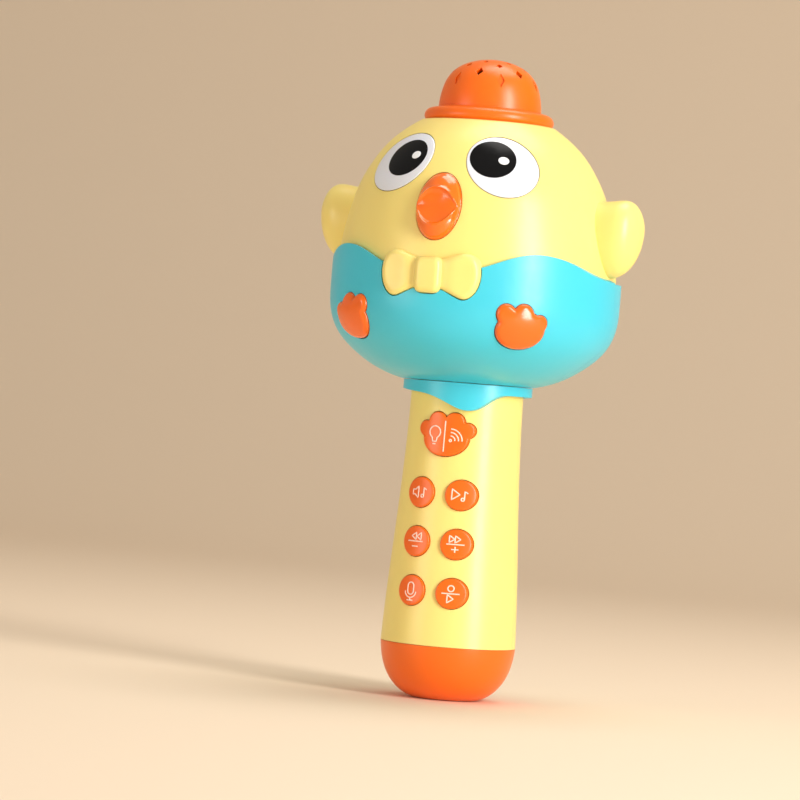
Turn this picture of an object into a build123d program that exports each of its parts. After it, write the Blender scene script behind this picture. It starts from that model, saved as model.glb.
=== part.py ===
"""A rechargeable toy singing microphone in the shape of a chick, in millimetres.

The microphone stands upright on its base cap: +Z is up, the chick faces -Y and +X is its left
hand side as seen from the front. The origin is the middle of the flat underside.
"""
import os
from math import cos, pi, radians, sin, sqrt

from build123d import *

os.makedirs("parts", exist_ok=True)

# ---------------------------------------------------------------- driving dimensions
# Sides of the turned shells, each a list of (radius, height) from bottom to top
cap_top = 20.3
neck_top = 118.2
cap_side = [(12.5, 0), (18.0, 3.0), (22.4, 8.6), (24.8, 16.1), (25.3, cap_top)]
handle_side = [(25.3, cap_top + 0.1), (24.0, 48.0), (22.6, 70.6), (21.5, 93.0), (21.0, neck_top)]
bowl_side = [(24.4, 118.4), (34.7, 121.8), (43.8, 127.6), (50.2, 134.1), (53.7, 142.5),
             (54.35, 151.5), (54.3, 160.0), (53.9, 168.0)]
head_side = [(51.6, 147.0), (52.1, 153.0), (51.3, 170.0), (49.3, 180.0), (46.2, 190.6),
             (42.4, 198.2), (37.2, 205.7), (29.9, 212.4), (25.2, 215.6)]
dome_side = [(19.3, 220.8), (18.9, 225.0), (18.2, 228.2), (16.8, 231.9), (13.7, 235.7),
             (7.8, 238.8), (0.0, 240.0)]

wall = 2.0                 # moulded wall of every shell
bowl_wall = 1.9
clearance = 0.2            # between fixed pieces that only meet
seam = 0.1                 # between a front and a rear shell

# Neck at the handle's top: it narrows to a groove that the bowl's floor sits in
neck_bore = 16.9
neck_radius = 20.0
groove_radius = 18.8
groove_height = 2.6
neck_rim_radius = 21.0
neck_rim_height = 2.4

# Buttons
round_button_radius = 5.65
round_button_x = 7.85
round_button_heights = (40.3, 58.5, 76.7)
mode_button_height = 98.5
mode_body = (0, -1.2, 8.8, 6.7)          # centre and semi-axes of the paw shape's lower part
mode_toes = [(-8.0, 2.1, 2.9), (-3.3, 4.8, 3.7), (3.3, 4.8, 3.7), (8.0, 2.1, 2.9)]
button_gap = 0.22          # all round a button in its hole
button_proud = 1.1         # how far a button stands above the handle
button_travel = 0.8
sleeve_wall = 1.0          # guide sleeve round each button hole
sleeve_end = -14.0         # Y of the sleeves' inner ends
flange_lip = 0.85          # keeps a button from falling out
flange_thickness = 1.0
switch_top = -10.8         # Y of the tactile switches' plungers

# Circuit board, parallel to the XZ plane
board_front = -6.5
board_thickness = 1.6
board_half_width = 12.6
board_low = 28.0
board_high = 108.5

# Battery, a standard 18650 cell
cell_radius = 9.25
cell_length = 65.0
cell_low = 33.0
cell_y = 8.7

# Charging socket in the rear of the handle
socket_height = 26.6
socket_shell_size = (8.94, 3.26)
socket_mouth_size = (8.34, 2.66)
socket_depth = 7.3
recess_floor = 24.3        # Y of the recess round the socket

# Loudspeaker behind the rear of the head
speaker_radius = 20.0
speaker_height = 178.0
speaker_front = 38.0       # Y of the rim's outer face
grille_pitch = 4.4
grille_hole_radius = 1.15
grille_rings = 3           # of holes round the middle one

# Head
head_foot = 150.6          # lower rim of the head shells
head_plate = (25.0, 17.6, 213.4)         # ring under the hat: outer and inner radius, underside

# Face, feet and wings, as (x, z) on the front
eye_centre = (19.1, 197.6)
eye_semi = (13.7, 9.7)
eye_turn = -36.2
eye_proud = 0.35
beak_height = 181.5
beak_semi = (8.5, 12.5)
beak_tilt = 15.0           # the head leans back here
beak_dome = (8.84, 13.0, 7.3)      # semi-axes of the dome across, up and out
beak_depth = 2.2           # of the dome's centre behind the head's surface
mouth_depth = 1.2
mouth_arc = 7.0            # half width of the mouth, and height of its two bows
foot_angle = 38.25
foot_height = 139.5
foot_body = (0, -1.1, 9.4, 7.6)
foot_toes = [(-6.2, 4.6, 3.7), (0.3, 4.9, 3.9), (6.8, 2.0, 3.2)]
foot_tilt = 17.0           # the feet look down by this much
foot_proud = 1.6
bow_lobe = [(5.0, 162.2), (9.4, 163.8), (13.5, 164.8), (17.0, 163.5), (18.9, 159.5), (18.9, 155.0),
            (17.3, 150.6), (13.8, 148.0), (9.5, 149.3), (5.0, 151.2)]
bow_knot = (10.6, 13.4, 156.2)   # width, height, centre height
bow_corner = 3.5
bow_proud = 3.6
knot_proud = 4.5
neckline = [(0, 157.6), (18.4, 159.8), (37.4, 166.4), (46.8, 164.0), (51.0, 161.2), (55.5, 159.0)]
rear_neckline = 159.0
drip = [(-20.96, 114.7), (-14.0, 114.0), (-7.6, 113.2), (-1.8, 111.4), (2.4, 109.6), (8.1, 108.1),
        (11.6, 109.0), (14.9, 111.8), (18.2, 114.2), (20.96, 114.7)]
collar_radius = 24.2
collar_bore = 21.3
drip_turns = (0, 180)      # the drip hangs in front and again behind
wing_middle = 176.2
wing_side = [(44.0, 14.6), (53.5, 14.7), (59.6, 12.4), (62.7, 7.2), (63.4, 0.0)]
wing_thinness = 0.78

# Hat: brim heights, the spigot that plugs into the head, and its holes in rings of six, each
# ring a height, the turn of its first hole, the holes' width and height, and their depth
brim_low = 215.8
brim_high = 221.0
spigot_radius = 17.4
spigot_bore = 15.7
spigot_low = 211.0
hat_holes = [(234.2, 0, 3.0, 4.2, 3), (236.7, 30, 2.4, 3.0, 3), (238.4, 0, 2.0, 2.8, 3),
             (231.3, 30, 2.8, 5.8, 0.6)]

# Screws: (x, z) on the rear face, thread and head radii
handle_screws_at = [(18.4, 27.0), (-18.4, 27.0), (16.0, 104.0), (-16.0, 104.0)]
head_screws_at = [(38.0, 163.0), (-38.0, 163.0), (37.0, 190.0), (-37.0, 190.0)]
bowl_screws_at = [(16.0, 129.0), (-16.0, 129.0)]
board_screws_at = [(0, 31.2), (0, 49.5), (0, 85.0)]
screw_radius = 1.1
screw_head_radius = 2.1
screw_head_height = 1.6
boss_radius = 2.5
handle_seat_y = 7.5        # Y of the seats under the screw heads
head_seat_y = 12.0

far = 80.0                 # further out than any surface of the microphone


# ---------------------------------------------------------------- helpers
def save(name, shape):
    """Write one sub-part."""
    shape.label = name
    export_step(shape, f"parts/{name}.step")


def turned(side, inward=0.0, reach_down=0.0, reach_up=0.0):
    """The solid of revolution inside a side curve that is moved inward by a distance."""
    curve = Spline(*[(radius, 0, height) for radius, height in side])
    if inward:
        count = 2 * len(side)
        moved = []
        for step in range(count + 1):
            direction = curve % (step / count)
            normal = Vector(-direction.Z, 0, direction.X)
            moved.append(curve @ (step / count) + normal * inward)
        if side[-1][0] == 0:
            moved[-1].X = 0
        curve = Spline(*moved)
    foot, crown = curve @ 0, curve @ 1
    low, high = foot.Z - reach_down, crown.Z + reach_up
    corners = [crown]
    if reach_up:
        corners.append(Vector(crown.X, 0, high))
    if crown.X > 1e-6:
        corners.append(Vector(0, 0, high))
    corners.append(Vector(0, 0, low))
    if reach_down:
        corners.append(Vector(foot.X, 0, low))
    corners.append(foot)
    return revolve(make_face([curve, Polyline(*corners)]), Axis.Z)


def layer(side, outer, inner):
    """The part of a wall between two depths below its side curve."""
    return turned(side, outer) - turned(side, inner, reach_down=4, reach_up=4)


def slab(low, high):
    """All the space between two heights."""
    return Pos(0, 0, (low + high) / 2) * Box(2 * far, 2 * far, high - low)


def tube(outer, inner, low, high):
    """An upright ring."""
    middle = Pos(0, 0, (low + high) / 2)
    return middle * Cylinder(outer, high - low) - middle * Cylinder(inner, high - low + 1)


def front_prism(sketch, start=0.0, end=far):
    """A front view outline, pushed from one depth in front of the axis to another."""
    return Pos(0, -start, 0) * extrude(Plane.XZ * sketch, amount=end - start)


def rod(x, z, radius, y_from, y_to):
    """A round bar along Y."""
    return Pos(x, (y_from + y_to) / 2, z) * Rot(90, 0, 0) * Cylinder(radius, abs(y_to - y_from))


def front_half(shape):
    """What lies in front of the seam between two shells."""
    return shape & Pos(0, -far - seam / 2, 120) * Box(2 * far, 2 * far, 300)


def rear_half(shape):
    """What lies behind the seam between two shells."""
    return shape & Pos(0, far + seam / 2, 120) * Box(2 * far, 2 * far, 300)


def paw(body, toes, grow=0.0, side=1):
    """A paw shape, an oval with round toes, grown all round by a distance."""
    x, y, across, up = body
    face = Pos(side * x, y) * Ellipse(across + grow, up + grow)
    for x, y, radius in toes:
        face += Pos(side * x, y) * Circle(radius + grow)
    return face


def screw(x, z, head_y, length):
    """A self-tapping screw put in from the rear, with a cross recess in its head."""
    seat_y = head_y - screw_head_height
    head = rod(x, z, screw_head_radius, head_y, seat_y)
    shank = rod(x, z, screw_radius - 0.15, seat_y, seat_y - length)
    cross = Pos(x, head_y, z) * (Box(2.4, 1.4, 0.6) + Box(0.6, 1.4, 2.4))
    return head + shank - cross


def radius_at(side, height):
    """Radius of a side curve at a height, between its listed points."""
    for (r0, z0), (r1, z1) in zip(side, side[1:]):
        if z0 <= height <= z1:
            return r0 + (r1 - r0) * (height - z0) / (z1 - z0)
    raise ValueError(height)


def screw_posts(side, thickness, places, well):
    """Posts on a rear shell with wells for the screw heads, and posts on the front shell."""
    inside = turned(side, thickness / 2, reach_down=1, reach_up=1)
    rear, front, wells, pilots = [], [], [], []
    for x, z in places:
        rear.append(rod(x, z, boss_radius + 0.6, seam / 2, far) & inside)
        front.append(rod(x, z, boss_radius, -seam / 2, -far) & inside)
        wells.append(rod(x, z, screw_head_radius + 0.2, well, far))
        wells.append(rod(x, z, screw_radius + 0.1, 0, well))
        pilots.append(rod(x, z, screw_radius - 0.1, 0, -7.5))
    return rear, front, wells, pilots


# ---------------------------------------------------------------- handle
handle_solid = turned(handle_side)
handle_bore = turned(handle_side, wall, reach_down=4, reach_up=4)
handle_tube = handle_solid - handle_bore
groove_top = neck_top + groove_height
handle_tube += tube(neck_radius, neck_bore, neck_top - 5, neck_top)
handle_tube += tube(groove_radius, neck_bore, neck_top, groove_top)
handle_tube += tube(neck_rim_radius, neck_bore, groove_top, groove_top + neck_rim_height)

rear_posts, front_posts, wells, pilots = screw_posts(
    handle_side, wall, handle_screws_at, handle_seat_y)
handle_front = front_half(handle_tube) + front_posts - pilots
handle_rear = rear_half(handle_tube) + rear_posts - wells

# Button holes and their guide sleeves
round_hole = Circle(round_button_radius + button_gap)
round_sleeve = Circle(round_button_radius + button_gap + sleeve_wall)
mode_face = paw(mode_body, mode_toes)
mode_hole = paw(mode_body, mode_toes, button_gap)
mode_sleeve = paw(mode_body, mode_toes, button_gap + sleeve_wall)
button_places = [(side * round_button_x, z) for z in round_button_heights for side in (-1, 1)]
inside_handle = turned(handle_side, wall / 2)
for x, z in button_places:
    handle_front += front_prism(Pos(x, z) * round_sleeve, -sleeve_end) & inside_handle
    handle_front -= front_prism(Pos(x, z) * round_hole)
handle_front += front_prism(Pos(0, mode_button_height) * mode_sleeve, -sleeve_end) & inside_handle
handle_front -= front_prism(Pos(0, mode_button_height) * mode_hole)

# Posts that the circuit board is screwed to
for x, z in board_screws_at:
    handle_front += rod(x, z, boss_radius, board_front - 0.05, -far) & inside_handle
    handle_front -= rod(x, z, screw_radius - 0.1, board_front + 1, board_front - 7)

# Charging socket opening in the rear
socket_slot = SlotOverall(9.5, 3.8)
socket_recess = SlotOverall(13.0, 7.6)
handle_rear -= Plane.XZ.offset(-far) * Pos(0, socket_height) * extrude(socket_slot, amount=far - 5)
handle_rear -= Plane.XZ.offset(-far) * Pos(0, socket_height) * extrude(
    socket_recess, amount=far - recess_floor)

save("handle_front_shell", handle_front)
save("handle_rear_shell", handle_rear)

# ---------------------------------------------------------------- base cap
cap_spigot = tube(radius_at(handle_side, 25) - wall - 0.15, 21.4, cap_top - 3, cap_top + 3.2)
cap_solid = turned(cap_side) - turned(cap_side, 2.2, reach_up=4)
save("base_cap", cap_solid + cap_spigot)

# ---------------------------------------------------------------- buttons
flange_top = sleeve_end + 0.15
stem_end = switch_top - button_travel - 0.05
button_skin = turned(handle_side, -button_proud)


def button(face, flange_face, place):
    """A button cap with its domed top, its retaining flange and its stem."""
    cap = front_prism(place * face, -flange_top) & button_skin
    flange = front_prism(place * flange_face, -flange_top - flange_thickness, -flange_top)
    stem = front_prism(place * Circle(1.8), -stem_end, -flange_top)
    return cap + flange + stem


round_names = ["low_left", "low_right", "middle_left", "middle_right", "high_left", "high_right"]
round_face = Circle(round_button_radius)
round_flange = Circle(round_button_radius + flange_lip)
for name, (x, z) in zip(round_names, button_places):
    save(f"{name}_button", button(round_face, round_flange, Pos(x, z)))
mode_flange = paw(mode_body, mode_toes, flange_lip)
save("mode_button", button(mode_face, mode_flange, Pos(0, mode_button_height)))

# ---------------------------------------------------------------- circuit board
board_middle = (board_low + board_high) / 2
board = Pos(0, board_front + board_thickness / 2, board_middle) * Box(
    2 * board_half_width, board_thickness, board_high - board_low)
for x, z in board_screws_at:
    board -= rod(x, z, screw_radius + 0.1, board_front - 1, board_front + 3)
save("main_board", board)

board_rear = board_front + board_thickness
board_screws = [screw(x, z, board_rear + screw_head_height, 7.4) for x, z in board_screws_at]
save("board_screws", Compound(board_screws))

switches = []
for x, z in button_places + [(0, mode_button_height)]:
    body = Pos(x, board_front - 1.75, z) * Box(6.0, 3.5, 6.0)
    switches.append(body + rod(x, z, 1.7, board_front - 3.5, switch_top))
save("tactile_switches", Compound(switches))

chips = []
for x, z, width, height, depth in [(-5.2, 100.5, 7.0, 7.0, 1.2), (5.6, 100.8, 5.0, 6.2, 1.5),
                                   (-6.6, 36.5, 5.0, 4.2, 1.5), (6.6, 36.5, 4.0, 4.0, 1.8)]:
    chips.append(Pos(x, board_rear + depth / 2, z) * Box(width, depth, height))
save("circuit_chips", Compound(chips))

# ---------------------------------------------------------------- battery and charging socket
cell_middle = cell_low + cell_length / 2
cell = Pos(0, cell_y, cell_middle) * Cylinder(cell_radius, cell_length)
cell += Pos(0, cell_y, cell_low + cell_length + 0.6) * Cylinder(2.8, 1.2)
save("battery_cell", cell)

cradle_radius = cell_radius + 1.3
cradle = Pos(0, cell_y, cell_middle) * (
    Cylinder(cradle_radius, cell_length - 14) - Cylinder(cell_radius + 0.1, cell_length))
cradle &= Pos(0, cell_y + 4 + cradle_radius, cell_middle) * Box(60, 2 * cradle_radius, 200)
save("battery_cradle", cradle)

socket_rear = recess_floor - 0.3
socket_shell = Plane.XZ.offset(-socket_rear) * Pos(0, socket_height) * extrude(
    SlotOverall(*socket_shell_size), amount=socket_depth)
socket_mouth = Plane.XZ.offset(-socket_rear - 1) * Pos(0, socket_height) * extrude(
    SlotOverall(*socket_mouth_size), amount=socket_depth)
socket_tongue = Pos(0, socket_rear - 3.8, socket_height) * Box(6.7, 5.6, 0.7)
save("charging_socket", socket_shell - socket_mouth + socket_tongue)

socket_board_top = socket_height - 1.63
save("socket_board", Pos(0, socket_rear - 7.2, socket_board_top - 0.5) * Box(14.0, 9.6, 1.0))

# ---------------------------------------------------------------- collar with icing drips
drip_start, drip_end = drip[0], drip[-1]
drip_top = Polyline(drip_end, (drip_end[0], neck_top), (drip_start[0], neck_top), drip_start)
skirt = front_prism(make_face([Spline(*drip), drip_top])) & tube(
    collar_radius, collar_bore, 100, neck_top)
collar = tube(collar_radius, collar_bore, drip_start[1], neck_top)
for turn in drip_turns:
    collar += Rot(0, 0, turn) * skirt
save("neck_collar", collar)

# ---------------------------------------------------------------- teal bowl round the head's base
bowl = turned(bowl_side) - turned(bowl_side, bowl_wall, reach_up=4) - slab(166.9, 180)
bowl -= Pos(0, 0, neck_top) * Cylinder(groove_radius + 0.3, 10)
right_edge = list(reversed(neckline[1:]))
front_edge = Spline(*[(-x, z) for x, z in right_edge], *neckline)
above_front = make_face([front_edge, Polyline(neckline[-1], (55.5, 190), (-55.5, 190),
                                              (-55.5, neckline[-1][1]))])


def bow_shape(grow):
    """Outline of the bow tie, grown all round by a distance."""
    middle = Vector(bow_lobe[2][0], bow_knot[2])
    points = [Vector(*point) for point in bow_lobe]
    points = [point + (point - middle).normalized() * grow for point in points]
    lobe = make_face([Spline(*points), Line(points[-1], points[0])])
    width, height, centre = bow_knot
    knot = Pos(0, centre) * RectangleRounded(width + 2 * grow, height + 2 * grow, bow_corner + grow)
    return lobe + mirror(lobe, Plane.YZ) + knot


rear_posts, front_posts, wells, pilots = screw_posts(
    bowl_side, bowl_wall, bowl_screws_at, head_seat_y)
bowl_front = front_half(bowl) - front_prism(above_front) + front_posts - pilots
bowl_rear = rear_half(bowl) - slab(rear_neckline, 180) + rear_posts - wells
bowl_front -= front_prism(bow_shape(0.25), 20)

# Openings for the two feet, square to the bowl where each foot sits
foot_radius = radius_at(bowl_side, foot_height)
foot_skin = layer(bowl_side, -foot_proud, bowl_wall + 1.4)
foot_lip_skin = layer(bowl_side, bowl_wall + 0.1, bowl_wall + 1.4)


def foot_plane(side):
    """Plane of one foot, looking outwards, with its X along the outer toe."""
    angle = radians(side * foot_angle)
    outward = Vector(sin(angle), -cos(angle), 0)
    across = Vector(cos(angle), sin(angle), 0)
    tilt = radians(foot_tilt)
    normal = outward * cos(tilt) - Vector(0, 0, sin(tilt))
    return Plane(outward * foot_radius + Vector(0, 0, foot_height), x_dir=across, z_dir=normal)


for side, name in ((1, "left_foot"), (-1, "right_foot")):
    plane = foot_plane(side)
    opening, pad, lip = [extrude(plane * paw(foot_body, foot_toes, grow, side), amount=20, both=True)
                         for grow in (0.25, 0.0, 1.2)]
    bowl_front -= opening
    pad &= foot_skin
    lip &= foot_lip_skin
    save(name, pad + lip)

save("bowl_front_shell", bowl_front)
save("bowl_rear_shell", bowl_rear)
bowl_screws = [screw(x, z, head_seat_y + screw_head_height, 16) for x, z in bowl_screws_at]
save("bowl_screws", Compound(bowl_screws))

# ---------------------------------------------------------------- yellow head
head_tube = turned(head_side) - turned(head_side, wall, reach_down=4, reach_up=4)
head_tube += tube(*head_plate, head_side[-1][1])
head_tube -= slab(140, head_foot)
bow = front_prism(bow_shape(0.0), 20) & layer(head_side, -bow_proud, wall / 2)
knot = Pos(0, bow_knot[2]) * RectangleRounded(bow_knot[0], bow_knot[1], bow_corner)
bow += front_prism(knot, 20) & layer(head_side, -knot_proud, wall / 2)

rear_posts, front_posts, wells, pilots = screw_posts(
    head_side, wall, head_screws_at, head_seat_y)
head_front = front_half(head_tube) + bow + front_posts - pilots
head_rear = rear_half(head_tube) + rear_posts - wells

# Eyes: white ovals let into the front, each held by a lip behind the wall
eye_skin = layer(head_side, -eye_proud, wall + 1.3)
eye_lip_skin = layer(head_side, wall + 0.1, wall + 1.3)
for side, name in ((1, "left_eye"), (-1, "right_eye")):
    place = Pos(side * eye_centre[0], eye_centre[1]) * Rot(0, 0, side * eye_turn)
    oval = place * Ellipse(*eye_semi)
    lip = place * Ellipse(eye_semi[0] + 1.1, eye_semi[1] + 1.1)
    head_front -= front_prism(place * Ellipse(eye_semi[0] + 0.2, eye_semi[1] + 0.2), 10)
    save(name, (front_prism(oval, 10) & eye_skin) + (front_prism(lip, 10) & eye_lip_skin))

# Beak: a domed oval with a dished, almond-shaped mouth
beak_place = Pos(0, beak_height)
beak_seat = radius_at(head_side, beak_height)
head_front -= front_prism(beak_place * Ellipse(beak_semi[0] + 0.2, beak_semi[1] + 0.2), 20)
beak_plane = Plane((0, -beak_seat, beak_height), x_dir=(1, 0, 0),
                   z_dir=(0, -cos(radians(beak_tilt)), sin(radians(beak_tilt))))
dome = scale(Sphere(1), by=beak_dome)
beak = front_prism(beak_place * Ellipse(*beak_semi), 20)
beak &= beak_plane * Pos(0, 0, -beak_depth) * dome + turned(head_side, -0.4)
beak -= turned(head_side, wall + 1.3, reach_down=4, reach_up=4)
mouth = make_face([ThreePointArc((-mouth_arc, 0), (0, mouth_arc), (mouth_arc, 0)),
                   ThreePointArc((mouth_arc, 0), (0, -mouth_arc), (-mouth_arc, 0))])
mouth_floor = beak_plane * Pos(0, 0, -beak_depth - mouth_depth) * dome
beak -= front_prism(beak_place * mouth, 40) - mouth_floor
beak_lip = front_prism(beak_place * Ellipse(beak_semi[0] + 1.1, beak_semi[1] + 1.1), 20)
beak += beak_lip & eye_lip_skin
save("beak", beak)

# Wings: cushions with a neck that is trapped in a slot between the two head shells
wing_curve = Spline(*[(x, 0, wing_middle + r) for x, r in wing_side])
wing_face = make_face([wing_curve, Polyline(wing_curve @ 1, (wing_side[0][0], 0, wing_middle),
                                            wing_curve @ 0)])
wing_body = revolve(wing_face, Axis((0, 0, wing_middle), (1, 0, 0)))
wing_body = scale(wing_body, by=(1, wing_thinness, 1)) - turned(head_side, -0.1)
neck_of_wing = Pos(47.5, 0, wing_middle) * Box(11.0, 9.0, 16.0)
wing_stop = Pos(42.6, 0, wing_middle) * Box(2.4, 13.0, 19.0)
wing_slot = Pos(50, 0, wing_middle) * Box(20, 9.4, 16.4)
for side, name in ((1, "left_wing"), (-1, "right_wing")):
    wing = wing_body + neck_of_wing + wing_stop
    slot = wing_slot
    if side < 0:
        wing = mirror(wing, Plane.YZ)
        slot = mirror(slot, Plane.YZ)
    head_front -= slot
    head_rear -= slot
    save(name, wing)

# Loudspeaker grille and seat in the rear of the head
for ring in range(grille_rings + 1):
    holes = max(1, 6 * ring)
    for step in range(holes):
        angle = 2 * pi * step / holes
        reach = ring * grille_pitch
        x, z = reach * cos(angle), speaker_height + reach * sin(angle)
        head_rear -= rod(x, z, grille_hole_radius, 30, far)
seat = rod(0, speaker_height, speaker_radius + 2.2, speaker_front - 2, far)
seat -= rod(0, speaker_height, speaker_radius + 0.2, speaker_front - 3, speaker_front + 0.1)
seat -= rod(0, speaker_height, speaker_radius - 1.8, speaker_front, far)
head_rear += seat & turned(head_side, wall / 2)

save("head_front_shell", head_front)
save("head_rear_shell", head_rear)
head_screws = [screw(x, z, head_seat_y + screw_head_height, 16) for x, z in head_screws_at]
save("head_screws", Compound(head_screws))
handle_screws = [screw(x, z, handle_seat_y + screw_head_height, 12) for x, z in handle_screws_at]
save("handle_screws", Compound(handle_screws))

# ---------------------------------------------------------------- loudspeaker
speaker_frame = rod(0, speaker_height, speaker_radius, speaker_front, speaker_front - 1.2)
speaker_frame += rod(0, speaker_height, speaker_radius - 3, speaker_front - 1.2, speaker_front - 7)
speaker_frame -= rod(0, speaker_height, speaker_radius - 4.2, speaker_front + 1, speaker_front - 5.8)
save("speaker_frame", speaker_frame)
save("speaker_magnet", rod(0, speaker_height, 11.0, speaker_front - 7.05, speaker_front - 14))
cone = Pos(0, speaker_front - 2.9, speaker_height) * Rot(-90, 0, 0) * (
    Cone(6.0, 15.4, 5.4) - Pos(0, 0, 0.7) * Cone(5.6, 15.0, 5.4))
save("speaker_cone", cone)

# ---------------------------------------------------------------- hat: brim, pierced dome, spigot
brim_edge = Spline((23.2, 0, brim_low), (24.3, 0, 217.4), (23.4, 0, 219.6), (20.6, 0, 220.7),
                   (19.4, 0, brim_high))
brim_inside = Polyline(brim_edge @ 1, (spigot_bore, 0, brim_high), (spigot_bore, 0, brim_low),
                       brim_edge @ 0)
brim = revolve(make_face([brim_edge, brim_inside]), Axis.Z)
hat = brim + turned(dome_side) - turned(dome_side, 1.8, reach_down=2)
hat += tube(spigot_radius, spigot_bore, spigot_low, brim_low)
hat += tube(spigot_radius + 2.2, spigot_bore, spigot_low, head_plate[2] - clearance)


def dome_plane(angle, height):
    """A plane that touches the dome, with its Y up the slope."""
    for (r0, z0), (r1, z1) in zip(dome_side, dome_side[1:]):
        if z0 <= height <= z1:
            radius = r0 + (r1 - r0) * (height - z0) / (z1 - z0)
            length = sqrt((r1 - r0) ** 2 + (z1 - z0) ** 2)
            out, up = (z1 - z0) / length, (r0 - r1) / length
            break
    turn = radians(angle)
    outward = Vector(sin(turn), -cos(turn), 0)
    across = Vector(cos(turn), sin(turn), 0)
    return Plane(outward * radius + Vector(0, 0, height), x_dir=across,
                 z_dir=outward * out + Vector(0, 0, up))


def diamond(width, height):
    """A rhombus, standing on its corner."""
    return Polygon((width / 2, 0), (0, height / 2), (-width / 2, 0), (0, -height / 2))


for height, first, width, tall, depth in hat_holes:
    for turn in range(first, 360, 60):
        cutter = dome_plane(turn, height) * diamond(width, tall)
        hat -= extrude(cutter, amount=depth, both=True)
hat -= Pos(0, 0, 240) * Cylinder(1.2, 6)
save("hat_grille", hat)

# ---------------------------------------------------------------- microphone under the hat
foam = turned(dome_side, 2.1) & slab(223.6, 240)
foam -= Pos(0, 0, 225.4) * Cylinder(8.4, 7.4)
save("mic_foam", foam)
save("mic_capsule", Pos(0, 0, 224.4) * Cylinder(8.0, 8.2))
holder = Pos(0, 0, 218.0) * Cylinder(15.5, 3.0) + tube(9.6, 8.1, 219.5, 223.0)
holder -= Pos(0, 0, 218.0) * Cylinder(3.0, 6)
save("mic_holder", holder)
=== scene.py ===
import math

import bpy
import numpy as np
from mathutils import Matrix, Vector


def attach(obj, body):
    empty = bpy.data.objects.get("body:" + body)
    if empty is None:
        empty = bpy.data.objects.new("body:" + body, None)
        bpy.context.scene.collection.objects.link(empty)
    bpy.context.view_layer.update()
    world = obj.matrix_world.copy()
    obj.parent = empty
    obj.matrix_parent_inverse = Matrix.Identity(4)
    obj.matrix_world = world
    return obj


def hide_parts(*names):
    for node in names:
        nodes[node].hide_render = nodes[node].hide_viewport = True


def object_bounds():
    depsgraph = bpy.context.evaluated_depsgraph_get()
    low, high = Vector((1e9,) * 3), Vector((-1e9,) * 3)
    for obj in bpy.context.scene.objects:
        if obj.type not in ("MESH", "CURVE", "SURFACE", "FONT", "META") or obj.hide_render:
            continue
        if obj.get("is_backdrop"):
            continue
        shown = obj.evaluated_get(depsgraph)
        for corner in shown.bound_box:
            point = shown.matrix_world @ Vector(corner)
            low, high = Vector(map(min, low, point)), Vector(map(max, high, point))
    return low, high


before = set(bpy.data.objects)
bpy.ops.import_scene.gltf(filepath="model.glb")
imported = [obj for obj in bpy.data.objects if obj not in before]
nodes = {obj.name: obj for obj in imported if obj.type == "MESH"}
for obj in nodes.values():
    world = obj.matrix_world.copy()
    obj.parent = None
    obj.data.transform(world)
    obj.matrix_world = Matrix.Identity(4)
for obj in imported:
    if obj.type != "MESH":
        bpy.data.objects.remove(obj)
cad_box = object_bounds()

# ---- Camera: a long lens, level with the neck, 20 degrees round to the chick's left.
# It is rolled a little, so the upright microphone leans to the right.
turn = math.radians(20.0)
roll = math.radians(4.5)
sight = Vector((-math.sin(turn), math.cos(turn), 0))
level = Vector((math.cos(turn), math.sin(turn), 0))
upright = Vector((0, 0, 1))
camera_up = upright * math.cos(roll) - level * math.sin(roll)
camera_right = level * math.cos(roll) + upright * math.sin(roll)
camera_data = bpy.data.cameras.new("camera")
camera_data.sensor_width = 36.0
camera_data.lens = 176.4
camera = bpy.data.objects.new("camera", camera_data)
bpy.context.scene.collection.objects.link(camera)
axes = Matrix((camera_right, camera_up, -sight)).transposed()
camera_place = (0.4795, -1.3907, 0.1101)
camera.matrix_world = Matrix.Translation(camera_place) @ axes.to_4x4()
bpy.context.scene.camera = camera

# ---- Studio: a pale sweep that curves up behind the microphone, a tall key light from the right,
# a weak fill from the left, a weak top light and an even warm sky.
sweep_size = 8.0
sweep_start = 1.0
sweep_radius = 0.7
floor_gap = 0.0002
bpy.ops.object.select_all(action="DESELECT")
bpy.ops.mesh.primitive_grid_add(
    x_subdivisions=1, y_subdivisions=96, size=sweep_size, location=(0, 0.4, 0))
bpy.ops.object.transform_apply(location=True)
sweep = bpy.context.object
sweep.name = "studio_sweep"
for vertex in sweep.data.vertices:
    beyond = (vertex.co.y - sweep_start) / sweep_radius
    bend = min(max(beyond, 0.0), math.pi / 2)
    if beyond > 0:
        vertex.co.y = sweep_start + sweep_radius * math.sin(bend)
        vertex.co.z = sweep_radius * (1 - math.cos(bend) + max(beyond - bend, 0.0))
    vertex.co.z -= floor_gap
bpy.ops.object.shade_smooth()
sweep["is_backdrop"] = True
sweep_paint = bpy.data.materials.new("sweep_paint")
sweep_paint.use_nodes = True
sweep_shader = sweep_paint.node_tree.nodes["Principled BSDF"]
sweep_shader.inputs["Base Color"].default_value = (0.90, 0.74, 0.56, 1)
sweep_shader.inputs["Roughness"].default_value = 0.7
sweep.data.materials.append(sweep_paint)

bpy.context.scene.view_settings.view_transform = "Standard"
sky = bpy.data.worlds.new("sky")
sky.use_nodes = True
sky.node_tree.nodes["Background"].inputs["Color"].default_value = (1.0, 0.93, 0.84, 1)
sky.node_tree.nodes["Background"].inputs["Strength"].default_value = 0.42
bpy.context.scene.world = sky

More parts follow.
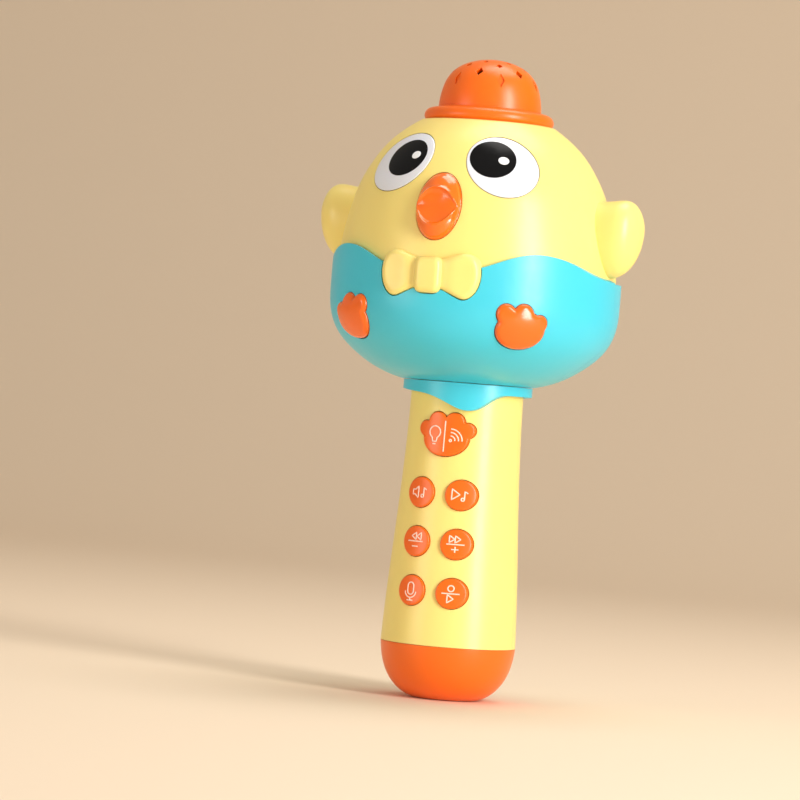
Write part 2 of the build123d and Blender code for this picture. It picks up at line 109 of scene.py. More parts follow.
aim = Vector((0, 0, 0.14))
for name, place, width, height, power, tint in [
        ("key", (1.05, -0.55, 0.36), 0.30, 1.1, 19.0, (1.0, 0.98, 0.95)),
        ("fill", (-0.8, -1.0, 0.25), 0.5, 0.5, 3.0, (1.0, 0.95, 0.90)),
        ("top", (0.1, 0.2, 1.1), 0.6, 0.6, 5.0, (1.0, 0.97, 0.93))]:
    lamp = bpy.data.lights.new(name, "AREA")
    lamp.shape = "RECTANGLE"
    lamp.size = width
    lamp.size_y = height
    lamp.energy = power
    lamp.color = tint
    stand = bpy.data.objects.new(name, lamp)
    stand.location = place
    stand.rotation_euler = (aim - Vector(place)).to_track_quat("-Z", "Y").to_euler()
    bpy.context.scene.collection.objects.link(stand)


# ---- Handle: two half shells of yellow plastic, moulded with a fine satin grain, that meet at
# the sides. The front one has the seven button holes.
class Link:
    """An output of a shader node. Sums and products add Math nodes, and node() any other."""

    def __init__(self, socket):
        self.socket = socket

    def node(self, kind, settings, inputs, out=0):
        tree = self.socket.id_data
        made = tree.nodes.new("ShaderNode" + kind)
        for key, value in settings.items():
            setattr(made, key, value)
        for key, value in inputs.items():
            if isinstance(value, Link):
                tree.links.new(value.socket, made.inputs[key])
            else:
                made.inputs[key].default_value = value
        return Link(made.outputs[out])

    def __add__(self, other):
        return self.node("Math", {"operation": "ADD"}, {0: self, 1: other})

    def __mul__(self, other):
        return self.node("Math", {"operation": "MULTIPLY"}, {0: self, 1: other})

    def noise(self, scale, detail=2.0):
        """Noise on this place, with its mean at one half."""
        return self.node("TexNoise", {}, {"Vector": self, "Scale": scale, "Detail": detail})

    def blend(self, first, second):
        """The first colour where this is 0, and the second where it is 1."""
        return self.node("Mix", {"data_type": "RGBA"}, {0: self, 6: first, 7: second}, out=2)

    def feed(self, shader, socket):
        self.socket.id_data.links.new(self.socket, shader.inputs[socket])


def finish(name, **constants):
    """A new material, its shader with some sockets set, and the place on the object."""
    material = bpy.data.materials.new(name)
    material.use_nodes = True
    shader = material.node_tree.nodes["Principled BSDF"]
    for socket, value in constants.items():
        shader.inputs[socket.replace("_", " ")].default_value = value
    place = Link(material.node_tree.nodes.new("ShaderNodeTexCoord").outputs["Object"])
    return material, shader, place


def moulded(name, colour, deep, roughness, grain=0.000004, edge=0.0003, coat=0.0,
            specular=0.5):
    """Plastic coloured right through, with faint flow marks, mould grain and soft edges."""
    material, shader, place = finish(
        name, Subsurface_Weight=0.08, Subsurface_Scale=0.003, Subsurface_Radius=(1.0, 0.5, 0.2),
        Coat_Weight=coat, Coat_Roughness=0.06, Specular_IOR_Level=specular)
    flow = place.noise(scale=24.0, detail=3.0)
    flow.blend((*colour, 1), (*deep, 1)).feed(shader, "Base Color")
    spread = 0.12
    (place.noise(scale=300.0) * spread + (roughness - spread / 2)).feed(shader, "Roughness")
    rounded = place.node("Bevel", {"samples": 4}, {"Radius": edge})
    pebbles = place.noise(scale=4200.0) + place.noise(scale=900.0) * 0.6
    bump = place.node("Bump", {}, {"Height": pebbles, "Distance": grain, "Normal": rounded})
    bump.feed(shader, "Normal")
    return material


def paint(material, *names):
    """Gives CAD nodes, or new pieces, one material."""
    for name in names:
        piece = bpy.data.objects[name]
        piece.data.materials.clear()
        piece.data.materials.append(material)


yellow = moulded("yellow_satin", (0.94, 0.76, 0.235), (0.93, 0.74, 0.215), 0.34)
paint(yellow, "handle_front_shell", "handle_rear_shell")

# ---- Base cap: an orange cup that plugs over the handle's lower end, with a flat foot that the
# microphone stands on. The hat is moulded in the same orange.
orange = moulded("orange_satin", (0.93, 0.155, 0.004), (0.91, 0.145, 0.004), 0.33)
paint(orange, "base_cap")

# ---- Buttons: seven orange keys, a paw-shaped one above three rows of two round ones. Each has a
# softly rolled edge, follows the handle's curve and stands a little proud of it.
MM = 0.001
ROLL_RINGS = 6
FACE_RINGS = 7


def side_of(node, angle, low, high):
    """A turned shell's radius at any height, in mm, felt along a clear stripe of its node."""
    outward = Vector((math.sin(math.radians(angle)), -math.cos(math.radians(angle)), 0))
    well_outside = outward * 200 * MM
    radii = []
    for height in range(low, high + 1):
        start = well_outside + Vector((0, 0, height * MM))
        found, point, _, _ = nodes[node].ray_cast(start, -outward)
        radii.append(point.xy.length / MM)

    def radius(height):
        step = min(max(height - low, 0.0), high - low - 1e-6)
        index = int(step)
        return radii[index] + (radii[index + 1] - radii[index]) * (step - index)

    return radius


def on_front(radius):
    """Where a point (x, z) and its lift, in mm, come to lie on a turned shell's front."""
    def seat(x, z, lift):
        return Vector((x, -math.sqrt((radius(z) + lift) ** 2 - x ** 2), z)) * MM
    return seat


def disc(name, spokes, rings):
    """A round slab whose top is divided into rings, ready to be pressed into a shape."""
    bpy.ops.object.select_all(action="DESELECT")
    bpy.ops.mesh.primitive_circle_add(vertices=spokes, radius=1.0, fill_type="NGON")
    piece = bpy.context.object
    piece.name = name
    bpy.ops.object.mode_set(mode="EDIT")
    bpy.ops.mesh.select_mode(type="FACE")
    bpy.ops.mesh.select_all(action="SELECT")
    bpy.ops.mesh.extrude_region_move(TRANSFORM_OT_translate={"value": (0, 0, 1)})
    for _ in range(rings - 1):
        bpy.ops.mesh.inset(thickness=math.cos(math.pi / spokes) / rings)
    bpy.ops.mesh.poke()
    bpy.ops.object.mode_set(mode="OBJECT")
    return piece


def press(piece, spokes, rings, shape):
    """Moves each point of a disc to shape(spoke, ring). Ring -1 is the foot, 0 the top's rim."""
    for vertex in piece.data.vertices:
        spoke = round(math.atan2(vertex.co.y, vertex.co.x) / (2 * math.pi) * spokes) % spokes
        ring = -1 if vertex.co.z < 0.5 else round((1 - vertex.co.xy.length) * rings)
        vertex.co = shape(spoke, ring)
    bpy.ops.object.mode_set(mode="EDIT")
    bpy.ops.mesh.select_all(action="SELECT")
    bpy.ops.mesh.normals_make_consistent(inside=False)
    bpy.ops.object.mode_set(mode="OBJECT")
    bpy.ops.object.shade_smooth_by_angle(angle=math.radians(50))


def inward_of(outline, edge=0.0):
    """The direction into an anticlockwise outline at each point, turned gently at corners."""
    spacing = (outline[1] - outline[0]).length
    reach = max(1, round(edge / spacing))
    after = outline[reach:] + outline[:reach]
    before = outline[-reach:] + outline[:-reach]
    steps = [b - a for a, b in zip(before, after)]
    return [Vector((-step.y, step.x)).normalized() for step in steps]


def pad(name, outline, seat, foot, top, edge, relief=lambda x, z: 0.0):
    """A moulded pad with a rolled edge. Its outline is in mm, and seat lays it on a surface."""
    centre = sum(outline, Vector((0, 0))) / len(outline)
    inward = inward_of(outline, edge)
    rings = ROLL_RINGS + FACE_RINGS

    def shape(spoke, ring):
        angle = max(0, min(ring, ROLL_RINGS)) / ROLL_RINGS * math.pi / 2
        place = outline[spoke] + inward[spoke] * edge * (1 - math.cos(angle))
        if ring < 0:
            return seat(place.x, place.y, -foot)
        if ring > ROLL_RINGS:
            place = centre + (place - centre) * (rings - ring) / FACE_RINGS
        lift = top - min(edge, top + foot) * (1 - math.sin(angle))
        return seat(place.x, place.y, lift + relief(place.x, place.y) * math.sin(angle))

    piece = disc(name, len(outline), rings)
    press(piece, len(outline), rings, shape)
    return piece


def ellipse(x, z, wide, tall, turned=0.0, spokes=72):
    """Points of an ellipse, anticlockwise."""
    tilt = Matrix.Rotation(math.radians(turned), 2)
    points = []
    for step in range(spokes):
        angle = 2 * math.pi * step / spokes
        spot = Vector((wide * math.cos(angle), tall * math.sin(angle)))
        points.append(Vector((x, z)) + tilt @ spot)
    return points


def paw(body, toes, side=1, spokes=144):
    """Points of a paw shape, an oval with round toes and softened notches between them."""
    softness = 26
    points = []
    for step in range(spokes):
        angle = 2 * math.pi * step / spokes
        ray = Vector((math.cos(angle), math.sin(angle)))
        reach = []
        for x, z, wide, tall in [body] + [(x, z, r, r) for x, z, r in toes]:
            stretched = Vector((ray.x / wide, ray.y / tall))
            middle = Vector((side * x / wide, z / tall))
            along = stretched.dot(middle) / stretched.length_squared
            inside = along ** 2 - (middle.length_squared - 1) / stretched.length_squared
            if inside > 0 and along + math.sqrt(inside) > 0:
                reach.append(along + math.sqrt(inside))
        points.append(ray * sum(r ** softness for r in reach) ** (1 / softness))
    return points


on_handle = on_front(side_of("handle_front_shell", 75, 22, 118))
key_depth = 2.5
key_top = 1.1
key_edge = 0.55
key_radius = 5.65
key_column = 7.85
orange_key = moulded("orange_key_satin", (0.93, 0.15, 0.004), (0.91, 0.14, 0.004), 0.30)

round_key = ellipse(0, 0, key_radius, key_radius)
mode_toes = [(-8.0, 2.1, 2.9), (-3.3, 4.8, 3.7), (3.3, 4.8, 3.7), (8.0, 2.1, 2.9)]
mode_key = paw((0, -1.2, 8.8, 6.7), mode_toes)
key_places = {}
for row, height in (("low", 40.3), ("middle", 58.5), ("high", 76.7)):
    for hand, x in (("left", -key_column), ("right", key_column)):
        key_places[f"{row}_{hand}"] = (x, height)
key_places["mode"] = (0, 98.5)

for key, (x, height) in key_places.items():
    shape = mode_key if key == "mode" else round_key
    outline = [point + Vector((x, height)) for point in shape]
    cap = pad(f"{key}_cap", outline, on_handle, key_depth, key_top, key_edge)
    cap.data.materials.append(orange_key)
    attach(cap, f"{key}_key")
    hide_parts(f"{key}_button")

# ---- Icons: thin, pale, slightly raised lines on the keys. Each is drawn flat with bevelled
# curves, about the middle of its key, and draped over the key's face.
line_width = 0.5
line_rise = 0.16
longest_stretch = 0.6


def arc(x, z, radius, start, end, steps=20):
    """Points of an arc about (x, z), by its angles in degrees."""
    points = []
    for step in range(steps + 1):
        angle = math.radians(start + (end - start) * step / steps)
        points.append((x + radius * math.cos(angle), z + radius * math.sin(angle)))
    return points


def note(x, z):
    """A quaver: its head, and its stem with a tail."""
    return [arc(x, z, 0.55, 0, 360), [(x + 0.55, z), (x + 0.55, z + 3.0), (x + 1.7, z + 2.3)]]


def pointer(x, z, size):
    """A triangle that points left for a size below 0, and right for one above."""
    half = 0.7 * abs(size)
    return [[(x, z + half), (x + size, z), (x, z - half), (x, z + half)]]


divider = [[(-3.2, 0), (3.2, 0)]]
minus_sign = [[(-1.3, -1.9), (1.3, -1.9)]]
plus_sign = minus_sign + [[(0, -0.8), (0, -3.0)]]
back_sign = pointer(0.2, 1.9, -1.9) + pointer(2.3, 1.9, -1.9)
forward_sign = pointer(-2.3, 1.9, 1.9) + pointer(-0.2, 1.9, 1.9)
microphone_sign = [arc(0, 1.7, 1.25, 0, 180) + arc(0, -0.3, 1.25, 180, 360) + [(1.25, 1.7)],
                   arc(0, -0.4, 2.3, 180, 360), [(0, -2.7), (0, -3.7)], [(-1.3, -3.7), (1.3, -3.7)]]
speaker_sign = [[(-3.2, 0.9), (-2.2, 0.9), (-0.8, 2.1), (-0.8, -2.1), (-2.2, -0.9), (-3.2, -0.9),
                 (-3.2, 0.9)]]
lamp_sign = [arc(-3.9, 0.9, 2.2, -60, 240, 30),
             [(-5.0, -1.0), (-4.6, -2.6), (-3.2, -2.6), (-2.8, -1.0)],
             [(-4.5, -3.5), (-3.3, -3.5)]]
waves_sign = [arc(2.4, -1.9, 0.4, 0, 360), arc(2.4, -1.9, 1.7, 0, 90), arc(2.4, -1.9, 3.0, 0, 90),
              arc(2.4, -1.9, 4.3, 0, 90)]
icons = {
    "low_left": microphone_sign,
    "low_right": divider + [arc(0, 1.9, 1.1, 0, 360)] + pointer(-1.1, -1.9, 2.2),
    "middle_left": divider + back_sign + minus_sign,
    "middle_right": divider + forward_sign + plus_sign,
    "high_left": speaker_sign + note(1.0, -1.3),
    "high_right": pointer(-3.0, 0.2, 2.9) + note(1.0, -1.5),
    "mode": lamp_sign + waves_sign + [[(0, 5.2), (0, -6.2)]],
}
ink, ink_shader, ink_place = finish("pale_ink", Specular_IOR_Level=0.4)
mottle = ink_place.noise(scale=900.0)
mottle.blend((1.0, 0.74, 0.64, 1), (1.0, 0.66, 0.54, 1)).feed(ink_shader, "Base Color")
(ink_place.noise(scale=2500.0) * 0.2 + 0.4).feed(ink_shader, "Roughness")
specks = ink_place.noise(scale=5000.0)
ink_place.node("Bump", {}, {"Height": specks, "Distance": 0.000004}).feed(ink_shader, "Normal")

for key, strokes in icons.items():
    x, height = key_places[key]
    drawing = bpy.data.curves.new(f"{key}_icon", "CURVE")
    drawing.dimensions = "3D"
    drawing.bevel_depth = line_width / 2
    drawing.bevel_resolution = 2
    drawing.use_fill_caps = True
    for stroke in strokes:
        points = []
        for start, end in zip(stroke, stroke[1:]):
            pieces = max(1, math.ceil(math.dist(start, end) / longest_stretch))
            points += [Vector(start).lerp(Vector(end), step / pieces) for step in range(pieces)]
        closed = math.dist(stroke[0], stroke[-1]) < 0.01
        if not closed:
            points.append(Vector(stroke[-1]))
        line = drawing.splines.new("POLY")
        line.points.add(len(points) - 1)
        line.use_cyclic_u = closed
        for point, spot in zip(line.points, points):
            point.co = (spot.x, 0, spot.y, 1)
    icon = bpy.data.objects.new(f"{key}_icon", drawing)
    bpy.context.scene.collection.objects.link(icon)
    bpy.ops.object.select_all(action="DESELECT")
    icon.select_set(True)
    bpy.context.view_layer.objects.active = icon
    bpy.ops.object.convert(target="MESH")
    icon = bpy.context.object
    for vertex in icon.data.vertices:
        lift = key_top + line_rise * (-vertex.co.y / (line_width / 2))
        vertex.co = on_handle(x + vertex.co.x, height + vertex.co.z, lift)
    bpy.ops.object.shade_smooth()
    icon.data.materials.append(ink)
    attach(icon, f"{key}_key")
    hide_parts(f"{key}_button")

# ---- Inside the handle: a green board with its chips, switches and screws, a lithium cell in
# its black cradle, and the steel charging socket on a board of its own.
laminate, laminate_shader, laminate_place = finish(
    "solder_mask", Coat_Weight=0.4, Coat_Roughness=0.2)
tracks = laminate_place.node("TexBrick", {}, {
    "Vector": laminate_place, "Scale": 260.0, "Color1": (0.01, 0.16, 0.06, 1),
    "Color2": (0.015, 0.20, 0.08, 1), "Mortar": (0.02, 0.30, 0.12, 1)})
tracks.feed(laminate_shader, "Base Color")
(laminate_place.noise(scale=700.0) * 0.2 + 0.3).feed(laminate_shader, "Roughness")
paint(laminate, "main_board", "socket_board")

black = moulded("black_moulding", (0.03, 0.03, 0.032), (0.02, 0.02, 0.022), 0.42)
paint(black, "circuit_chips", "tactile_switches", "battery_cradle", "mic_holder")

film = moulded("shrink_film", (0.08, 0.22, 0.50), (0.06, 0.18, 0.44), 0.22, coat=0.5)
paint(film, "battery_cell")


def brushed(name, colour, roughness, along):
    """Drawn or turned metal, with fine scratches along one axis."""
    material, shader, place = finish(name, Metallic=1.0)
    stretched = place.node("Mapping", {}, {"Vector": place, "Scale": along})
    scratches = stretched.noise(scale=1.0, detail=4.0)
    scratches.blend((*colour, 1), (*(0.8 * part for part in colour), 1)).feed(shader, "Base Color")
    (scratches * 0.25 + (roughness - 0.12)).feed(shader, "Roughness")
    place.node("Bump", {}, {"Height": scratches, "Distance": 0.000004}).feed(shader, "Normal")
    return material


steel = brushed("plated_steel", (0.62, 0.62, 0.64), 0.30, (6000, 600, 6000))
paint(steel, "charging_socket", "board_screws", "handle_screws", "bowl_screws", "head_screws",
      "speaker_frame", "mic_capsule")

# ---- Collar and bowl: satin teal plastic. The collar hangs an icing drip over the handle, front
# and rear. The bowl is two half shells round the head, with a wavy front rim and openings for
# the feet and the bow tie.
teal = moulded("teal_satin", (0.06, 0.58, 0.74), (0.05, 0.56, 0.72), 0.34)
paint(teal, "neck_collar", "bowl_front_shell", "bowl_rear_shell")

# ---- Feet: two glossy orange paws with softly crowned faces. Each is let into the bowl from
# inside and looks outwards and a little down.
foot_angle = 38.25
foot_height = 139.5
foot_tilt = 17.0
foot_depth = 1.5
foot_top = 1.6
foot_edge = 1.5
foot_crown = 0.7
crown_wide, crown_tall = 9.5, 8.5
bowl_radius = side_of("bowl_rear_shell", 135, 119, 158)


def on_foot(side):
    """Where a point of one foot's own plane comes to lie on the bowl, and its lift."""
    angle = math.radians(side * foot_angle)
    tilt = math.radians(foot_tilt)
    outward = Vector((math.sin(angle), -math.cos(angle), 0))
    across = Vector((math.cos(angle), math.sin(angle), 0))
    normal = outward * math.cos(tilt) - Vector((0, 0, math.sin(tilt)))
    upward = normal.cross(across)
    middle = outward * bowl_radius(foot_height) + Vector((0, 0, foot_height))

    def seat(x, z, lift):
        spot = middle + across * x + upward * z
        for _ in range(8):
            spot += normal * (bowl_radius(spot.z) - spot.xy.length)
        return (spot + normal * lift) * MM

    return seat


def crown(x, z):
    """How much the middle of a foot rises over its rim."""
    return foot_crown * max(0.0, 1 - (x / crown_wide) ** 2 - (z / crown_tall) ** 2)


orange_gloss = moulded("orange_gloss", (0.93, 0.15, 0.004), (0.91, 0.14, 0.004), 0.22, coat=0.3)
for side, name in ((1, "left_foot"), (-1, "right_foot")):
    outline = paw((0, -1.1, 9.4, 7.6), [(-6.2, 4.6, 3.7), (0.3, 4.9, 3.9), (6.8, 2.0, 3.2)], side)
    foot = pad(f"{name}_pad", outline, on_foot(side), foot_depth, foot_top, foot_edge, crown)
    foot.data.materials.append(orange_gloss)
    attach(foot, "microphone")
    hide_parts(name)

# ---- Head: two half shells of yellow plastic. The front one is moulded with the bow tie, and
# has openings for the eyes and the beak.
head_low = 150.6
head_top = 215.6
head_top_radius = 25.2
mouth_of_head = 17.6
mouth_bottom = 213.4
head_wall = 2.0
seam = 0.05
head_radius = side_of("head_rear_shell", 160, 151, 215)
on_head = on_front(head_radius)
paint(yellow, "head_rear_shell")

outer = [(head_radius(head_low), head_low)]
outer += [(head_radius(height), height) for height in range(152, 216)]
outer.append((head_top_radius, head_top))
inner = []
for height in range(213, 151, -3):
    slope = (head_radius(height + 1) - head_radius(height - 1)) / 2
    inner.append((head_radius(height) - head_wall, height + head_wall * slope))
section = outer + [(mouth_of_head, head_top), (mouth_of_head, mouth_bottom)] + inner
section.append((outer[0][0] - head_wall, head_low))

bpy.ops.object.select_all(action="DESELECT")
bpy.ops.mesh.primitive_circle_add(vertices=len(section), radius=1.0, fill_type="NGON")
head = bpy.context.object
head.name = "head_front"
for vertex, (radius, height) in zip(head.data.vertices, section):
    vertex.co = Vector((radius, -seam, height)) * MM
bpy.ops.object.mode_set(mode="EDIT")
bpy.ops.mesh.select_all(action="SELECT")
bpy.ops.mesh.spin(steps=128, angle=math.pi - 0.002, center=(0, 0, 0), axis=(0, 0, 1))
bpy.ops.mesh.select_all(action="SELECT")
bpy.ops.mesh.remove_doubles(threshold=0.000001)
bpy.ops.mesh.normals_make_consistent(inside=False)
bpy.ops.object.mode_set(mode="OBJECT")


def cut_out(piece, outline, depth_from, depth_to):
    """Cuts an opening with a front view outline, in mm, right through a piece."""
    bpy.ops.object.select_all(action="DESELECT")
    bpy.ops.mesh.primitive_circle_add(vertices=len(outline), radius=1.0, fill_type="NGON")
    cutter = bpy.context.object
    for vertex, point in zip(cutter.data.vertices, outline):
        vertex.co = Vector((point.x, -depth_from, point.y)) * MM
    bpy.ops.object.mode_set(mode="EDIT")
    bpy.ops.mesh.select_all(action="SELECT")
    reach = (0, -(depth_to - depth_from) * MM, 0)
    bpy.ops.mesh.extrude_region_move(TRANSFORM_OT_translate={"value": reach})
    bpy.ops.mesh.select_all(action="SELECT")
    bpy.ops.mesh.normals_make_consistent(inside=False)
    bpy.ops.object.mode_set(mode="OBJECT")
    bpy.ops.object.select_all(action="DESELECT")
    piece.select_set(True)
    bpy.context.view_layer.objects.active = piece
    opening = piece.modifiers.new("opening", "BOOLEAN")
    opening.object = cutter
    opening.operation = "DIFFERENCE"
    bpy.ops.object.modifier_apply(modifier=opening.name)
    bpy.data.objects.remove(cutter)


eye_gap = 0.2
eyes = {"left_eye": (19.1, 197.6, -36.2), "right_eye": (-19.1, 197.6, 36.2)}
eye_wide, eye_tall = 13.7, 9.7
beak_height = 181.5
beak_wide, beak_tall = 8.5, 12.5
for x, z, tilt in eyes.values():
    cut_out(head, ellipse(x, z, eye_wide + eye_gap, eye_tall + eye_gap, tilt, 144), 10, 80)
cut_out(head, ellipse(0, beak_height, beak_wide + eye_gap, beak_tall + eye_gap, 0, 144), 10, 80)
bpy.ops.object.shade_smooth_by_angle(angle=math.radians(35))
head.data.materials.append(yellow)
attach(head, "microphone")
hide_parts("head_front_shell")

# ---- Bow tie: part of the head's front moulding, two lobes and a knot with softly rolled edges
# that stand out through a cut-out in the bowl. The lobes dip towards the knot.
lobe_points = [(5.0, 162.2), (9.4, 163.8), (13.5, 164.8), (17.0, 163.5), (18.9, 159.5),
               (18.9, 155.0), (17.3, 150.6), (13.8, 148.0), (9.5, 149.3), (5.0, 151.2)]
bow_depth = 1.0
lobe_lift, lobe_edge = 3.6, 2.1
knot_lift, knot_edge = 4.4, 2.4
groove_at, groove_wide, groove_depth = 5.0, 3.2, 1.0
dish_at, dish_wide, dish_tall, dish_depth = (12.5, 156.5), 5.5, 6.5, 0.45


def smooth_through(points, steps=14):
    """A smooth open curve through points, by cubic spans that join in slope and curvature."""
    spots = np.array(points, float)
    spans = np.linalg.norm(np.diff(spots, axis=0), axis=1)
    steepness = np.diff(spots, axis=0) / spans[:, None]
    count = len(spots)
    system = np.zeros((count, count))
    wanted = np.zeros((count, 2))
    for index in range(1, count - 1):
        left, right = spans[index - 1], spans[index]
        system[index, index - 1:index + 2] = right, 2 * (left + right), left
        wanted[index] = 3 * (right * steepness[index - 1] + left * steepness[index])
    for end, near in ((0, 0), (count - 1, count - 2)):
        beside = 1 if near == 0 else near - 1
        bias = spans[near] / (spans[near] + spans[beside])
        system[end, end] = 1
        wanted[end] = steepness[near] + bias * (steepness[near] - steepness[beside])
    slopes = np.linalg.solve(system, wanted)
    curve = []
    for index, span in enumerate(spans):
        for step in range(steps):
            t = step / steps
            curve.append(Vector((1 + 2 * t) * (1 - t) ** 2 * spots[index]
                                + t ** 2 * (3 - 2 * t) * spots[index + 1]
                                + span * t * (1 - t) ** 2 * slopes[index]
                                - span * t ** 2 * (1 - t) * slopes[index + 1]))
    return curve + [Vector(spots[-1])]


def dip(x, z):
    """How far a lobe's face lies under its rim."""
    groove = groove_depth * math.exp(-((abs(x) - groove_at) / groove_wide) ** 2)
    across = (abs(x) - dish_at[0]) / dish_wide
    upward = (z - dish_at[1]) / dish_tall
    return -groove - dish_depth * max(0.0, 1 - across ** 2 - upward ** 2)


def all_round(outline, spokes):
    """Points of an outline where evenly turned rays from its middle meet it."""
    centre = sum(outline, Vector((0, 0))) / len(outline)
    found = []
    for step in range(spokes):
        angle = 2 * math.pi * step / spokes
        ray = Vector((math.cos(angle), math.sin(angle)))
        for start, end in zip(outline, outline[1:] + outline[:1]):
            a, b = start - centre, end - centre
            across_a, across_b = ray.x * a.y - ray.y * a.x, ray.x * b.y - ray.y * b.x
            if across_a * across_b <= 0 and (a + b).dot(ray) > 0 and across_a != across_b:
                found.append(centre + a.lerp(b, across_a / (across_a - across_b)))
                break
    return found


hidden_end = 2.6
lobe = [Vector((hidden_end, lobe_points[0][1])), *smooth_through(lobe_points),
        Vector((hidden_end, lobe_points[-1][1]))]
right_lobe = all_round(lobe[::-1], 96)
left_lobe = all_round([Vector((-point.x, point.y)) for point in lobe], 96)
parts = [pad("right_lobe", right_lobe, on_head, bow_depth, lobe_lift, lobe_edge, dip),
         pad("left_lobe", left_lobe, on_head, bow_depth, lobe_lift, lobe_edge, dip)]
knot_wide, knot_tall, knot_height = 5.3, 6.7, 156.2
squareness = 4.5
knot = []
for step in range(96):
    angle = 2 * math.pi * (step + 0.5) / 96
    ray = Vector((math.cos(angle), math.sin(angle)))
    sides = (abs(ray.x) / knot_wide) ** squareness + (abs(ray.y) / knot_tall) ** squareness
    knot.append(Vector((0, knot_height)) + ray * sides ** (-1 / squareness))
parts.append(pad("knot", knot, on_head, bow_depth, knot_lift, knot_edge))
for part in parts:
    part.select_set(True)
bpy.ops.object.join()
bow = bpy.context.object
bow.name = "bow_tie"
bow.data.materials.append(yellow)
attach(bow, "microphone")
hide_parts("head_front_shell")

# ---- Eyes: white glossy ovals let into the head, with a black pupil and a white glint printed
# on each. Both glints sit towards the same side.
white = moulded("white_gloss", (0.78, 0.80, 0.86), (0.76, 0.78, 0.84), 0.2, coat=0.3)
black_print = moulded(
    "black_print", (0.004, 0.004, 0.005), (0.006, 0.006, 0.006), 0.2, specular=0.15)
white_print = moulded("white_print", (0.92, 0.92, 0.94), (0.88, 0.88, 0.90), 0.25)
eye_depth, eye_lift, eye_edge = 1.4, 0.35, 0.3
print_depth, print_edge = 0.1, 0.04
pupil_lift = eye_lift + 0.05
glint_lift = eye_lift + 0.09
pupils = {"left_eye": (15.7, 200.2, 8.4, 6.5, -26), "right_eye": (-17.2, 199.2, 8.55, 6.4, 31)}
glints = {"left_eye": (19.6, 200.0, 1.9, 1.35, -22), "right_eye": (-13.5, 200.3, 1.85, 1.4, 22)}
for name, (x, z, tilt) in eyes.items():
    oval = ellipse(x, z, eye_wide, eye_tall, tilt, 120)
    pupil = ellipse(*pupils[name], 96)
    glint = ellipse(*glints[name], 48)
    layers = [pad(f"{name}_oval", oval, on_head, eye_depth, eye_lift, eye_edge),
              pad(f"{name}_pupil", pupil, on_head, print_depth, pupil_lift, print_edge),
              pad(f"{name}_glint", glint, on_head, print_depth, glint_lift, print_edge)]
    for layer, coat in zip(layers, (white, black_print, white_print)):
        layer.data.materials.append(coat)
        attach(layer, "microphone")
        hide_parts(name)

# ---- Beak: one glossy orange moulding, a dome with a raised, almond-shaped lip round a dished
# mouth. It snaps into the head from inside.
beak_depth, beak_edge = 1.2, 0.4
beak_roll = 0.35
beak_rise = 4.9
beak_fullness = 0.62
mouth_wide, mouth_tall, mouth_point = 8.1, 6.9, 2.3
mouth_depth = 3.2
lip_height, lip_width = 0.7, 0.07
lip_zone = 0.12
beak_spokes = 120
edge_rings, side_rings, lip_rings, dish_rings = 6, 7, 10, 9
beak_rings = edge_rings + side_rings + lip_rings + dish_rings


def mouth_level(x, z):
    """Below 1 inside the mouth's almond outline, and above 1 outside it."""
    return abs(z) / mouth_tall + (abs(x) / mouth_wide) ** mouth_point


def beak_lift(x, z, share):
    """How far the beak stands out at a place measured from its middle. The lip is at share 1."""
    rim = min(1.0, (x / beak_wide) ** 2 + (z / beak_tall) ** 2)
    dome = beak_edge + beak_rise * (1 - rim) ** beak_fullness
    dish = mouth_depth * (1 - min(share, 1.0) ** 2)
    lip = lip_height * math.sqrt(1 - rim) * math.exp(-((share - 1) / lip_width) ** 2)
    return dome - dish + lip


beak_outline = ellipse(0, 0, beak_wide, beak_tall, 0, beak_spokes)
beak_inward = inward_of(beak_outline)


def lip_share(spot):
    """How far out the lip lies on the way from the beak's middle to a spot on its outline."""
    low, high = 0.0, 1.5
    for _ in range(30):
        share = (low + high) / 2
        low, high = (share, high) if mouth_level(*(spot * share)) < 1 else (low, share)
    return low


def beak_shape(spoke, ring):
    """Where a point of the beak's disc goes. Its rings crowd together at the lip."""
    angle = max(0, min(ring, edge_rings)) / edge_rings * math.pi / 2
    spot = beak_outline[spoke] + beak_inward[spoke] * beak_roll * (1 - math.cos(angle))
    if ring < 0:
        return on_head(spot.x, beak_height + spot.y, -beak_depth)
    if ring <= edge_rings:
        return on_head(spot.x, beak_height + spot.y, beak_edge * math.sin(angle))
    lip = lip_share(spot)
    outside = min(lip * (1 + lip_zone), (1 + lip) / 2)
    inside = lip * (1 - lip_zone)
    if ring <= edge_rings + side_rings:
        share = 1 + (outside - 1) * ((ring - edge_rings) / side_rings)
    elif ring <= beak_rings - dish_rings:
        share = outside + (inside - outside) * ((ring - edge_rings - side_rings) / lip_rings)
    else:
        share = inside * (beak_rings - ring) / dish_rings
    spot = spot * share
    return on_head(spot.x, beak_height + spot.y, beak_lift(spot.x, spot.y, share / lip))


beak = disc("beak_moulding", beak_spokes, beak_rings)
press(beak, beak_spokes, beak_rings, beak_shape)
beak_gloss = moulded(
    "beak_gloss", (0.92, 0.16, 0.001), (0.90, 0.15, 0.001), 0.16, edge=0.0001, coat=0.6)
beak.data.materials.append(beak_gloss)
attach(beak, "microphone")
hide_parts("beak")

# ---- Wings: hollow yellow cushions, blow moulded, broad and square-shouldered at the top and
# narrow below. Each is trapped by its neck between the two head shells.
wing_tip, wing_tip_height = 63.5, 179.0
wing_middle = 177
wing_thick, wing_above, wing_below = 11.3, 12.4, 16.0
wing_low, wing_high = wing_middle - wing_below, wing_middle + wing_above
wing_root = 0.6
wing_rings = 22
wing_spokes = 96
wing_base = ellipse(0, wing_middle, wing_thick, wing_below, 0, wing_spokes)


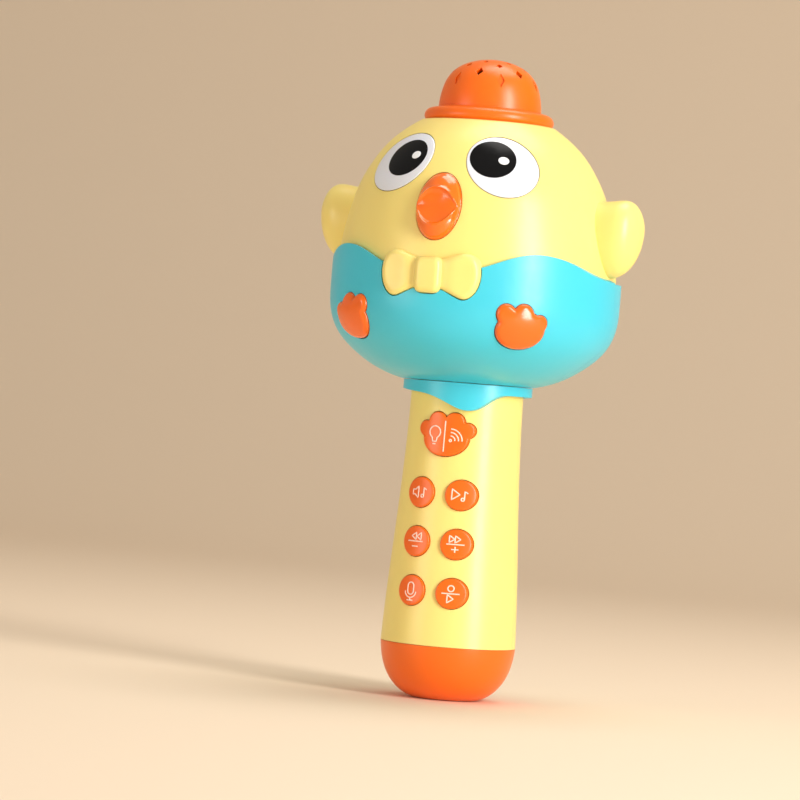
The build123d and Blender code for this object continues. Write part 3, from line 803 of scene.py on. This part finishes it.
def wing_shape(side):
    """Rings of a wing from its base on the head to its outer tip."""
    def shape(spoke, ring):
        y, z = wing_base[spoke]
        if z > wing_middle:
            z = wing_middle + (z - wing_middle) * wing_above / wing_below
        upper = (z - wing_low) / (wing_high - wing_low)
        start = math.sqrt(head_radius(z) ** 2 - y ** 2) - wing_root
        squareness = 2.0 + 0.6 * upper ** 2
        angle = max(ring, 0) / wing_rings * math.pi / 2
        bulge = 1 + 0.28 * upper * math.sin(2 * angle) ** 2
        spread = max(0.0, math.cos(angle)) ** (2 / squareness) * bulge
        reach = -0.08 if ring < 0 else math.sin(angle) ** (2 / squareness)
        x = start + (wing_tip - start) * reach
        return Vector((side * x, y * spread, wing_tip_height + (z - wing_tip_height) * spread)) * MM
    return shape


for side, name in ((1, "left_wing"), (-1, "right_wing")):
    wing = disc(f"{name}_cushion", wing_spokes, wing_rings)
    press(wing, wing_spokes, wing_rings, wing_shape(side))
    wing.data.materials.append(yellow)
    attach(wing, "microphone")
    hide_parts(name)

# ---- Loudspeaker: a plated frame, painted with the other steel parts, a ferrite magnet and a
# dark paper cone, behind the grille in the head's rear shell.
ferrite = moulded("ferrite", (0.05, 0.05, 0.052), (0.035, 0.035, 0.04), 0.6, grain=0.00003)
paint(ferrite, "speaker_magnet")
paper, paper_shader, paper_place = finish("cone_paper", Sheen_Weight=0.2)
fibres = paper_place.noise(scale=1500.0, detail=6.0)
fibres.blend((0.05, 0.045, 0.04, 1), (0.11, 0.10, 0.09, 1)).feed(paper_shader, "Base Color")
(fibres * 0.2 + 0.7).feed(paper_shader, "Roughness")
paper_place.node("Bump", {}, {"Height": fibres, "Distance": 0.00006}).feed(paper_shader, "Normal")
paint(paper, "speaker_cone")

# ---- Hat: one orange moulding, a brim and a dome with diamond-shaped sound holes. A foam puff
# and the microphone capsule sit inside it.
paint(orange, "hat_grille")
foam, foam_shader, foam_place = finish("open_foam")
cells = foam_place.node("TexVoronoi", {}, {"Vector": foam_place, "Scale": 1400.0})
cells.blend((0.06, 0.06, 0.06, 1), (0.02, 0.02, 0.02, 1)).feed(foam_shader, "Base Color")
(cells * 0.1 + 0.85).feed(foam_shader, "Roughness")
foam_place.node("Bump", {}, {"Height": cells, "Distance": 0.0003}).feed(foam_shader, "Normal")
paint(foam, "mic_foam")

boxes = [cad_box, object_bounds()]
[[list(corner) for corner in box] for box in boxes]
